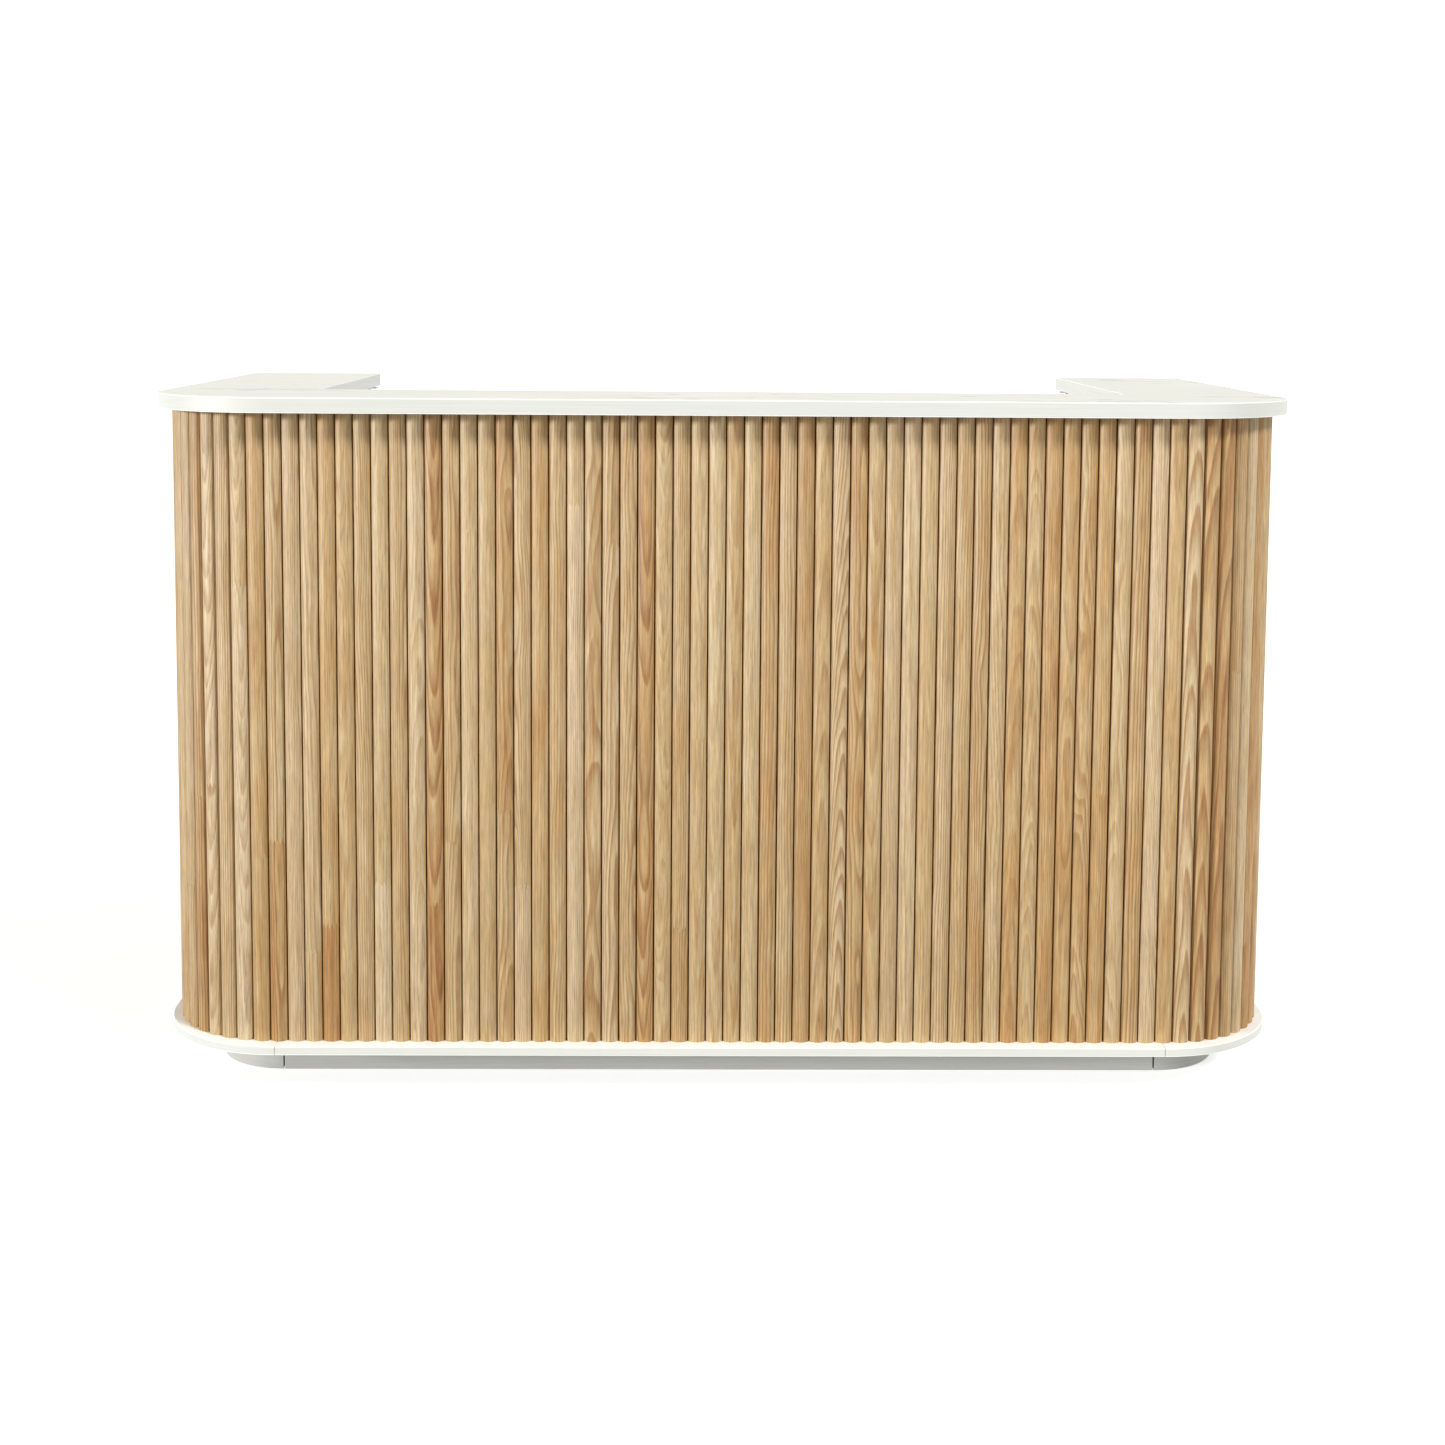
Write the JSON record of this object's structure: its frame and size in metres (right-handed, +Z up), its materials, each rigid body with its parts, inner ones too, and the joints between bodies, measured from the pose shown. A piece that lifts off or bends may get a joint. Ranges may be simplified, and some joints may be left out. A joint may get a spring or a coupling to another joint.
{
  "type": "checkout counter",
  "caption": "U-shaped checkout counter with a pale stone-look top, half-round oak slats, recessed plinth and a staff side with a drawer, a cupboard and shelves.",
  "frame": {"origin": "on the floor, below the middle of the worktop's outline", "axes": "+X along the counter, to the right as the customer sees it; the customer stands at -Y and the staff at +Y; +Z up"},
  "size_m": [1.8, 0.96, 1.09],
  "materials": {
    "stone_laminate": "satin stone-look laminate on board",
    "edge_band": "satin",
    "plate_white": "satin lacquered board",
    "plinth_grey": "matt laminate on board",
    "plinth_board": "raw board",
    "oak": "matt lacquered oak",
    "canvas": "matt",
    "bent_ply": "raw plywood",
    "melamine": "satin melamine on board",
    "drawer_board": "satin",
    "zinc_steel": "zinc plated",
    "nickel": "satin nickel",
    "handle_black": "matt black",
    "grey_plastic": "satin"
  },
  "bodies": {
    "counter": {"base_plate_front": "plate_white", "base_plate_left": "plate_white", "base_plate_right": "plate_white", "bracket_screws": "zinc_steel", "cable_grommet": "grey_plastic", "catch_magnet": "grey_plastic", "corner_ribs": "bent_ply", "divider_left": "melamine", "divider_right": "melamine", "drawer_lock_strike": "zinc_steel", "front_panel": "bent_ply", "hinge_leaves_cabinet": "nickel", "hinge_pins": "zinc_steel", "ledge_gables": "melamine", "ledge_shelf": "melamine", "module_bolts": "zinc_steel", "pedestal_gable_left": "melamine", "pedestal_gable_right": "melamine", "pedestal_rail": "melamine", "plinth_front": "plinth_grey", "plinth_left": "plinth_grey", "plinth_rails": "plinth_board", "plinth_right": "plinth_grey", "runners_cabinet": "zinc_steel", "shelf_pins": "zinc_steel", "shelves_left": "melamine", "shelves_right": "melamine", "slat_canvas_left": "canvas", "slat_canvas_right": "canvas", "slats_front": "oak", "slats_left_wing": "oak", "slats_right_wing": "oak", "wing_end_panel_left": "melamine", "wing_end_panel_right": "melamine", "wing_gable_left": "melamine", "wing_gable_right": "melamine", "wing_shell_left": "bent_ply", "wing_shell_right": "bent_ply", "work_shelf": "melamine", "worktop": "stone_laminate", "worktop_brackets": "zinc_steel", "worktop_edge_band": "edge_band"},
    "drawer": {"drawer_front": "melamine", "drawer_bottom": "drawer_board", "drawer_side_left": "drawer_board", "drawer_side_right": "drawer_board", "drawer_back": "drawer_board", "drawer_box_front": "drawer_board", "runners_drawer": "zinc_steel", "drawer_handle": "handle_black", "drawer_lock_body": "nickel"},
    "drawer_lock": {"drawer_lock_core": "nickel", "drawer_lock_cam": "zinc_steel"},
    "runner_left": {"runner_middle_left": "zinc_steel"},
    "runner_right": {"runner_middle_right": "zinc_steel"},
    "door": {"cupboard_door": "melamine", "door_handle": "handle_black", "hinge_leaves_door": "nickel", "catch_plate": "zinc_steel"}
  },
  "joints": [
    {"name": "drawer_slide", "type": "slide", "parent": "counter", "child": "drawer", "axis": [0, 1, 0], "range_m": [0, 0.36]},
    {"name": "runner_slide_left", "type": "slide", "parent": "counter", "child": "runner_left", "axis": [0, 1, 0], "range_m": [0, 0.18]},
    {"name": "runner_slide_right", "type": "slide", "parent": "counter", "child": "runner_right", "axis": [0, 1, 0], "range_m": [0, 0.18]},
    {"name": "drawer_lock_turn", "type": "hinge", "parent": "drawer", "child": "drawer_lock", "pos_m": [-0.48, 0.045, 0.695], "axis": [0, -1, 0], "range_deg": [0, 90]},
    {"name": "door_hinge", "type": "hinge", "parent": "counter", "child": "door", "pos_m": [-0.2626, 0.03775, 0.33], "axis": [0, 0, -1], "range_deg": [0, 110]}
  ],
  "couplings": [
    {"joint": "runner_slide_left", "follows": "drawer_slide", "ratio": 0.5},
    {"joint": "runner_slide_right", "follows": "drawer_slide", "ratio": 0.5}
  ]
}
